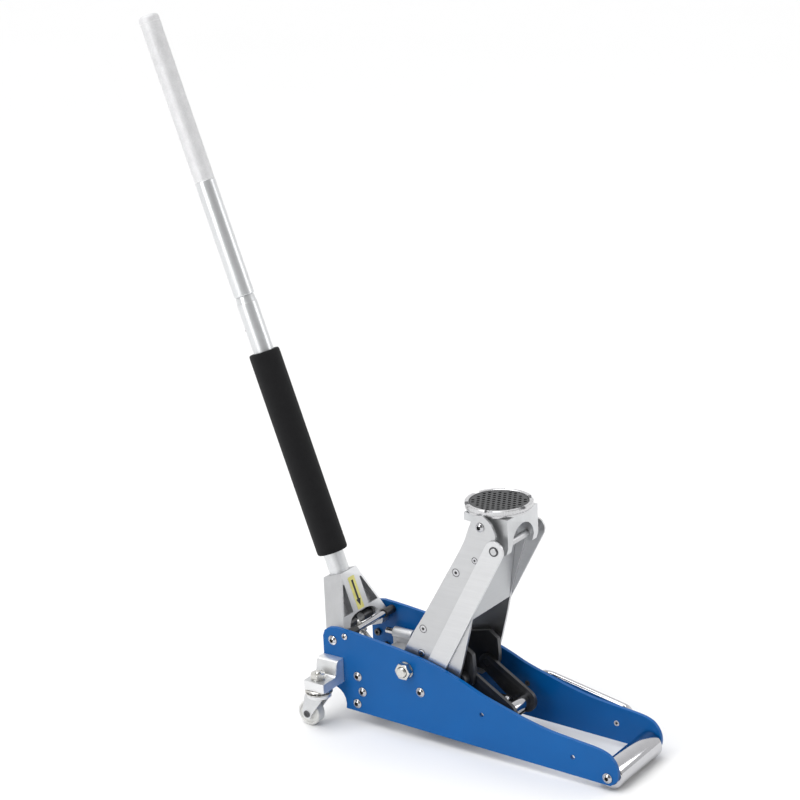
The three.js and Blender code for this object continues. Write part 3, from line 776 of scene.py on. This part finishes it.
def arm_screws(side, sign):
    """Flush screws in the arm plate, each ringed in dark iron that paints the shade in its countersunk seat.
    """
    for index, (along, behind, radius, key) in enumerate(ARM_SCREWS):
        spot = at(on_arm(along, behind, sign), outward(sign))
        # A thin dark ring round each screw: painted shade in the gap of its seat.
        seat = lathe(band(radius - 0.1, radius + 1.1, -0.5, 0.06), 48)
        piece(f"arm_screw_seat_{index}_{side}", seat, "iron", "lift_arm", spot)
        piece(f"arm_screw_{index}_{side}", flush_screw(radius - 0.3, key), "chrome", "lift_arm", spot)


arm_head_pin()
link_head_pin()
for arm_side, arm_sign in SIDES:
    arm_screws(arm_side, arm_sign)


# ---- Caster brackets' screws, races, balls, wheels ------------------------------------------------

RACE_BORE, RACE_RADIUS = 5.4, 21.9


def bracket_screw(node, sign):
    """A cap screw that holds a caster bracket, its head on the inside of the plate."""
    low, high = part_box(node)
    length = (high[1] - low[1]) / MM
    shank, head, seat = 3, 5.9, length - 4.4
    profile = [(0, 0), (shank, 0), (shank, seat), (head, seat), (head, length - 0.4), (head - 0.7, length),
               (0, length)]
    screw = carved(lathe(rounded(profile, 0.3), 40), hexagon(3.2, length - 3, length + 1))
    outer = (high if sign > 0 else low)[1]
    piece(node, screw, "iron", "chassis", at((middle(node).x, outer, middle(node).z), outward(-sign)))


def swivel_bolt(node, swivel):
    """The bolt that a caster turns on, its threads showing over a flanged nut."""
    low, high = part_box(node)
    foot, top, crest, root = low[2] / MM, high[2] / MM, 4.9, 4.4
    nut = hex_nut(21.8, 8.6)
    nut.transform(Matrix.Translation((0, 0, (top - 11.6) * MM)))
    bolt = [(0, foot), (crest, foot), (crest, top - 3.2), (root, top - 2.8), (crest, top - 2.3),
            (root, top - 1.8), (crest, top - 1.3), (root, top - 0.8), (3.6, top), (0, top)]
    flange = lathe(band(5, 11.8, top - 12, top - 10.8), 48)
    piece(node, merged(nut, lathe(bolt, 32), flange), "zinc", "chassis", at((swivel.x, swivel.y, 0)))


def swivel_race(side, swivel):
    """Two pressed discs round a core, with a ring of bare balls between them."""
    body, place = f"caster_{side}", at((swivel.x, swivel.y, 0))
    low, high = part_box(f"swivel_race_{side}")
    base, crown = low[2] / MM, high[2] / MM
    cup = [(RACE_BORE, base), (18, base), (21.4, base + 1.1), (RACE_RADIUS, base + 2.6), (20.6, base + 2.9),
           (17, base + 2), (RACE_BORE, base + 2), (RACE_BORE, base)]
    cover = [(RACE_BORE, crown - 1.7), (17, crown - 1.7), (20.8, crown - 2.9), (RACE_RADIUS, crown - 2.5),
             (21.2, crown - 0.8), (19.4, crown), (RACE_BORE, crown), (RACE_BORE, crown - 1.7)]
    core = band(RACE_BORE, 15.4, base + 2.1, crown - 1.8)
    race = merged(lathe(rounded(cup, 0.4), 72), lathe(rounded(cover, 0.4), 72), lathe(core, 48))
    piece(f"swivel_race_{side}", race, "zinc", body, place)

    balls, count, circle = [], 18, 18.2 * MM
    for k in range(count):
        ball = bmesh.new()
        bmesh.ops.create_icosphere(ball, subdivisions=2, radius=1.9 * MM)
        angle = 2 * math.pi * k / count
        ball.transform(at((circle * math.cos(angle), circle * math.sin(angle), (base + crown) / 2 * MM)))
        balls.append(ball)
    piece(f"race_balls_{side}", merged(*balls), "chrome", body, place)


def caster_wheel(side):
    """A pale wheel with a hub, a dished web and a tread with worn corners."""
    node = f"caster_wheel_{side}"
    half, radius = half_width(node), size(node).z / 2 / MM
    end = [(4.3, half - 0.3), (7.6, half - 0.3), (8.3, half - 1.8), (15.6, half - 2.4), (16.4, half - 0.2),
           (18.6, half - 0.2), (radius, half - 2)]
    wheel = mirrored(end)
    across(node, rounded(wheel + [wheel[0]], 0.7), 96, "wheel", node)


def caster_axle(side):
    """A rivet through the fork, its ends turned over and dished."""
    node = f"caster_axle_{side}"
    half = half_width(node)
    end = [(0, half - 0.5), (2.2, half - 0.5), (2.8, half), (4.6, half - 0.1), (5.8, half - 0.8),
           (5.8, half - 1.4), (3.9, half - 1.4)]
    across(node, mirrored(end), 40, "iron", f"caster_{side}")


for caster_side, caster_sign in SIDES:
    swivel_point = Vector(joint(f"caster_swivel_{caster_side}")["pos_m"])
    for level in ("upper", "lower"):
        bracket_screw(f"bracket_screw_{level}_{caster_side}", caster_sign)
    swivel_bolt(f"swivel_bolt_{caster_side}", swivel_point)
    swivel_race(caster_side, swivel_point)
    caster_wheel(caster_side)
    caster_axle(caster_side)


# ---- Carry handle ---------------------------------------------------------------------------------

def carry_handle():
    """A round bar with two bends on the left plate, and a collar and an inner screw at each foot."""
    low, high = (Vector(corner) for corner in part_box("carry_handle"))
    inset, corner, steps = 6 * MM, 18 * MM, 14
    reach, face = high.y - inset, low.y
    rear = Vector((low.x + inset, 0, high.z - inset))
    front = Vector((high.x - inset, 0, low.z + inset))
    out = Vector((0, 1, 0))
    along = (front - rear).normalized() * corner
    leg = reach - corner
    half_leg = (face + leg) / 2

    route = [rear + out * face, rear + out * half_leg]
    route += curve((rear + out * leg, rear + out * reach, rear + out * reach + along), steps)
    route += [(rear + front) / 2 + out * reach]
    route += curve((front + out * reach - along, front + out * reach, front + out * leg), steps)
    route += [front + out * half_leg, front + out * face]
    parts = [tube(route, 5.95 * MM, 32)]
    for foot in (rear, front):
        collar = lathe(rounded(band(5.9, 8.6, 0, 2.4), 0.6), 48)
        collar.transform(at(foot + out * face, outward(1)))
        parts.append(collar)
    piece("carry_handle", merged(*parts), "chrome", "chassis")

    inner_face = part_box("side_plate_left")[0][1]
    for name, foot, look in (("rear", rear, "iron"), ("front", front, "chrome")):
        place = at((foot.x, inner_face, foot.z), outward(-1))
        piece(f"carry_handle_screw_{name}", flush_screw(4.6, 4), look, "chassis", place)


carry_handle()


# ---- Saddle cup and pad ---------------------------------------------------------------------------

SADDLE_PLACE = at((SADDLE.x, SADDLE.y, 0))
PAD_RADIUS = size("saddle_pad").x / 2 / MM
PAD_LOW, PAD_HIGH = (corner[2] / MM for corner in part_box("saddle_pad"))


def saddle_cup():
    """A turned cup with a grooved rim, cut by six slots, on a short stem."""
    top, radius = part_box("saddle_cup")[1][2] / MM, size("saddle_cup").x / 2 / MM
    base, rim, bore = PAD_LOW - 3.8, radius - 0.1, PAD_RADIUS + 0.5
    outside = [(0, base), (radius - 2.6, base), (radius - 2.4, base + 2.2), (radius - 0.4, base + 3.0),
               (rim, base + 4.4), (radius - 0.9, base + 4.9), (radius - 0.9, base + 5.7), (rim, base + 6.2)]
    inside = [(rim, top - 0.8), (radius - 0.9, top), (bore + 1.1, top), (bore, top - 0.9), (bore, base + 3.6),
              (0, base + 3.6)]
    slots, count, reach, half = [], 6, 6, 6.4
    for k in range(count):
        slot = prism([(-reach, -half), (reach, -half), (reach, half), (-reach, half)], -3, 4)
        turn = Matrix.Rotation(math.radians(45) + 2 * math.pi * k / count, 4, "Z")
        slot.transform(turn @ Matrix.Translation((radius * MM, 0, top * MM)))
        slots.append(slot)
    cup = carved(lathe(outside + inside, 144), *slots)
    stem = lathe(rod(11.8, base - 3, base + 0.1), 48)
    piece("saddle_cup", merged(cup, stem), "ring", "saddle", SADDLE_PLACE)


def saddle_pad():
    """A round pad whose top carries rows of small blind holes, cut as real hollows, their insides painted
    near-black as shade.
    """
    radius, high, pitch, hole = PAD_RADIUS, PAD_HIGH, 9.0, 2.6
    disc = lathe(rounded(rod(radius, PAD_LOW, high), 1.0, 4), 120)
    drill_profile = [(0, high - 4.2), (hole * 0.6, high - 4), (hole, high - 3.2), (hole, high - 0.3),
                     (hole + 0.3, high + 0.05), (hole + 0.3, high + 1), (0, high + 1)]
    drills = []
    for row in range(-6, 7):
        for column in range(-6, 7):
            x, y = (column + (row % 2) / 2) * pitch, row * pitch * math.sqrt(3) / 2
            if math.hypot(x, y) < radius - 4.5:
                drill = lathe(drill_profile, 14)
                drill.transform(at((x * MM, y * MM, 0)))
                drills.append(drill)
    pad = carved(disc, merged(*drills))
    # The holes' walls and floors take the near-black finish: painted shade.
    for face in pad.faces:
        centre = face.calc_center_median() / MM
        if PAD_LOW + 1 < centre.z < high - 0.6 and math.hypot(centre.x, centre.y) < radius - 2:
            face.material_index = 1
    piece("saddle_pad", pad, "rubber", "saddle", SADDLE_PLACE)


saddle_cup()
saddle_pad()


# ---- Handle ---------------------------------------------------------------------------------------

# Heights along the handle, from its pivot, and radii.
LOWER_FOOT, LOWER_TOP, SPIGOT_TOP = 30, 542, 640
FOAM_LOW, FOAM_HIGH = 125, 461
UPPER_START, GRIP_START, HANDLE_TOP = 553.3, 742.5, 1012
CAP_START = HANDLE_TOP - 12
TUBE, SPIGOT, FOAM = 16.35, 13.5, 24.9


def rough_skin(radius, low, high):
    """A straight tube from low to high with a real, coarse grain of small raised points."""
    segments, step, depth = 80, 1.3, 0.45
    grain = random.Random(7)
    count = round((high - low) / step)
    rows = []
    for i in range(count + 1):
        height = low + (high - low) * i / count
        row_depth = 0 if i in (0, count) else depth
        row = []
        for k in range(segments):
            r = radius - row_depth * grain.random()
            angle = 2 * math.pi * (k + 0.5 * (i % 2)) / segments
            row.append((r * MM * math.cos(angle), r * MM * math.sin(angle), height * MM))
        rows.append(row)
    return skin(rows)


def lower_handle():
    """The lower tube with its thinner spigot, and a dark spring button in its side."""
    profile = [(0, LOWER_FOOT + 6), (14, LOWER_FOOT + 6), (14, LOWER_FOOT), (TUBE, LOWER_FOOT),
               (TUBE, LOWER_TOP - 1), (TUBE - 0.4, LOWER_TOP), (TUBE - 1.7, UPPER_START - 0.5),
               (SPIGOT, UPPER_START - 0.5), (SPIGOT, SPIGOT_TOP), (0, SPIGOT_TOP)]
    button = all_second(lathe([(0, 0), (1.6, 0), (1.6, 0.6), (1, 1), (0, 1)], 24))
    button_turn = Matrix.Rotation(math.radians(216), 4, "Z")
    button.transform(button_turn @ at(((TUBE - 0.5) * MM, 0, 500 * MM), ALONG_X))
    piece("lower_handle", merged(lathe(rounded(profile, 0.4), 80), button), "silver", "lower_handle", STAND)


def upper_handle():
    """The upper tube: a smooth part, a rough grip and a plain rounded cap."""
    smooth = [(0, UPPER_START), (TUBE - 0.8, UPPER_START), (TUBE, UPPER_START + 1.2), (TUBE, GRIP_START - 1),
              (TUBE - 0.6, GRIP_START), (0, GRIP_START)]
    cap = [(0, CAP_START), (TUBE - 0.5, CAP_START), (TUBE, CAP_START + 0.8), (TUBE, HANDLE_TOP - 6),
           (TUBE - 1, HANDLE_TOP - 2.8), (TUBE - 3.4, HANDLE_TOP - 0.8), (TUBE - 6.5, HANDLE_TOP),
           (0, HANDLE_TOP)]
    grip = all_second(rough_skin(TUBE, GRIP_START, CAP_START))
    handle = merged(lathe(rounded(smooth, 0.3), 80), grip, all_second(lathe(rounded(cap, 0.6), 80)))
    piece("upper_handle", handle, "silver", "upper_handle", STAND, second="grip")


def foam_sleeve():
    """The foam sleeve, with soft ends and forty rings along its side."""
    low, high, bore, rings = FOAM_LOW, FOAM_HIGH, TUBE + 0.2, 40
    profile = [(bore, low), (FOAM - 3.2, low), (FOAM - 1.2, low + 0.8), (FOAM - 0.2, low + 3)]
    profile += [(FOAM, low + (high - low) * k / rings) for k in range(1, rings)]
    profile += [(FOAM - 0.2, high - 3), (FOAM - 1.2, high - 0.8), (FOAM - 3.2, high), (bore, high),
                (bore, low)]
    foam = piece("foam_sleeve", lathe(profile, 80), "foam", "lower_handle", STAND)


def socket_shade_sheet():
    """A dark arched plate that closes the space between the socket's ears: painted shade standing in for the
    shadow in that space.
    """
    left = [(-40, 4), (-33.5, 20), (-22, 23.2), (0, 23.2)]
    right = [(-y, z) for y, z in reversed(left)]
    arch = curve(left, 8) + curve(right, 8)[1:]
    piece("socket_shade_sheet", crosswise(arch, -16.5, -15.3), "iron", "handle_socket", STAND)


def cam_roller(side, sign):
    """The sleeve on the socket's boss that pushes the pump plunger."""
    sleeve = lathe(rounded(band(7.4, 8, 10, 34), 0.2), 48)
    sleeve.transform(at((2 * MM, 0, 10.4 * MM), outward(sign)))
    piece(f"pump_cam_roller_{side}", sleeve, "iron", "handle_socket", STAND)


lower_handle()
upper_handle()
foam_sleeve()
socket_shade_sheet()
for roller_side, roller_sign in SIDES:
    cam_roller(roller_side, roller_sign)


# ---- Label on the socket's rib --------------------------------------------------------------------

SOCKET_FRONT = 18.0


def rounded_box(half, low, high, radius, steps=5):
    """The (y, z) corners of a box with rounded corners, from -half to half and low to high."""
    corners = []
    for y, z, start in ((half - radius, low + radius, -90), (half - radius, high - radius, 0),
                        (-half + radius, high - radius, 90), (-half + radius, low + radius, 180)):
        angles = [math.radians(start + 90 * k / steps) for k in range(steps + 1)]
        corners += [(y + radius * math.cos(a), z + radius * math.sin(a)) for a in angles]
    return corners


def print_on_socket(name, outline, look, lift):
    """A thin printed piece just in front of the socket's front face."""
    rear = SOCKET_FRONT + lift
    piece(name, crosswise(outline, rear, rear + 0.2), look, "handle_socket", STAND)


ARROW = [(0, 31), (5.4, 42), (2.2, 42), (2.2, 74), (-2.2, 74), (-2.2, 42), (-5.4, 42)]
print_on_socket("socket_label", rounded_box(8.2, 26, 80, 1.5), "label", 0.02)
print_on_socket("socket_arrow", ARROW, "near_black_and_painted_shade", 0.24)


# ---- Floor, lights and camera ---------------------------------------------------------------------

def pale_floor(reach):
    """A pale, matt floor."""
    mesh = bpy.data.meshes.new("floor")
    corners = [(-reach, -reach, 0), (reach, -reach, 0), (reach, reach, 0), (-reach, reach, 0)]
    mesh.from_pydata(corners, [], [(0, 1, 2, 3)])
    s = Shader("floor_pale", Roughness=0.75)
    s.colour(s.ramp(s.noise(0.7, 1), (0.87, 0.87, 0.87), (0.88, 0.88, 0.88), 0.2, 0.8))
    mesh.materials.append(s.material)
    made = bpy.data.objects.new("floor", mesh)
    SCENE.collection.objects.link(made)
    return made


def white_world():
    """A white world that is brighter towards one side."""
    world = SCENE.world or bpy.data.worlds.new("world")
    SCENE.world = world
    world.use_nodes = True
    tree = world.node_tree
    facing = tree.nodes.new("ShaderNodeVectorMath")
    facing.operation = "DOT_PRODUCT"
    facing.inputs[1].default_value = (-0.56, 0.8, -0.2)
    tree.links.new(tree.nodes.new("ShaderNodeTexCoord").outputs["Generated"], facing.inputs[0])
    shade = tree.nodes.new("ShaderNodeMapRange")
    for key, value in (("From Min", -0.75), ("From Max", 0.75), ("To Min", 0.25), ("To Max", 1.0)):
        shade.inputs[key].default_value = value
    tree.links.new(facing.outputs["Value"], shade.inputs["Value"])
    tree.links.new(shade.outputs["Result"], tree.nodes["Background"].inputs["Strength"])
    tree.nodes["Background"].inputs["Color"].default_value = (1, 1, 1, 1)


def area_light(name, position, width, height, power):
    """A rectangular light that faces the middle of the jack."""
    data = bpy.data.lights.new(name, "AREA")
    data.shape = "RECTANGLE"
    data.size = width
    data.size_y = height
    data.energy = power
    lamp = bpy.data.objects.new(name, data)
    SCENE.collection.objects.link(lamp)
    lamp.location = position
    lamp.rotation_euler = (Vector((0.03, 0, 0.4)) - Vector(position)).to_track_quat("-Z", "Y").to_euler()


def overhead_sun():
    """A broad, soft sun nearly overhead."""
    data = bpy.data.lights.new("overhead", "SUN")
    data.energy = 1.9
    data.angle = math.radians(50)
    sun = bpy.data.objects.new("overhead", data)
    SCENE.collection.objects.link(sun)
    sun.rotation_euler = (math.radians(14), math.radians(-10), 0)


def main_camera(target, azimuth, elevation, roll, distance):
    """The camera of the main view: angles in degrees, places in metres."""
    data = bpy.data.cameras.new("camera")
    data.sensor_width = 36
    data.lens = 96.95
    camera = bpy.data.objects.new("camera", data)
    SCENE.collection.objects.link(camera)
    turn, tilt, lean = math.radians(azimuth), math.radians(elevation), math.radians(roll)
    right = Vector((math.cos(turn), math.sin(turn), 0))
    back = Vector((math.sin(turn) * math.cos(tilt), -math.cos(turn) * math.cos(tilt), math.sin(tilt)))
    up = back.cross(right)
    axes = (right * math.cos(lean) + up * math.sin(lean), up * math.cos(lean) - right * math.sin(lean), back)
    camera.matrix_world = at(Vector(target) + back * distance, Matrix(axes).transposed().to_4x4())
    SCENE.camera = camera


floor = pale_floor(40)
white_world()
area_light("key", (-0.6, -2.9, 1.5), 1.1, 1.9, 30)
area_light("rim", (2.1, 1.7, 1.5), 1.0, 1.2, 12)
overhead_sun()
main_camera((0.02596, 0, 0.52194), 35.838, 17.326, -2.552, 3.25434)
SCENE.view_settings.view_transform = "Standard"
